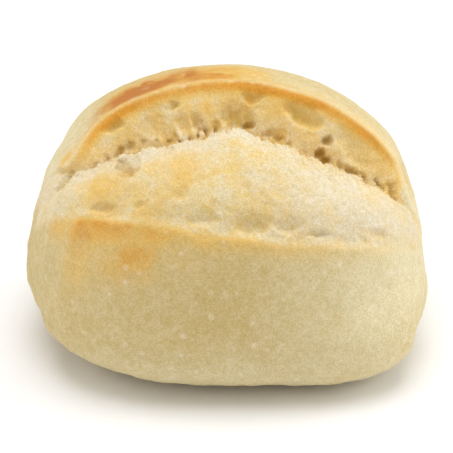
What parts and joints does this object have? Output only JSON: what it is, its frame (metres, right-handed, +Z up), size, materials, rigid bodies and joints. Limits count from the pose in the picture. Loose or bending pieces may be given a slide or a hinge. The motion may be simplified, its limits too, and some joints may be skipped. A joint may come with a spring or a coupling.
{
  "type": "bread roll",
  "caption": "Small crusty bread roll with one slash along its top, torn open to show a lip, a wall of crumb and a mound.",
  "frame": {"origin": "middle of the base, on the surface that the roll rests on", "axes": "+X along the slash, +Z up, -Y towards the front, the side that the slash leans to"},
  "size_m": [0.0896, 0.076, 0.0614],
  "materials": {
    "crust": "matte pale golden crust, toasted orange along the slash's lips and brown behind the back lip, with paler torn crumb inside the slash"
  },
  "bodies": {
    "root": {"bread_roll": "crust"}
  },
  "joints": []
}
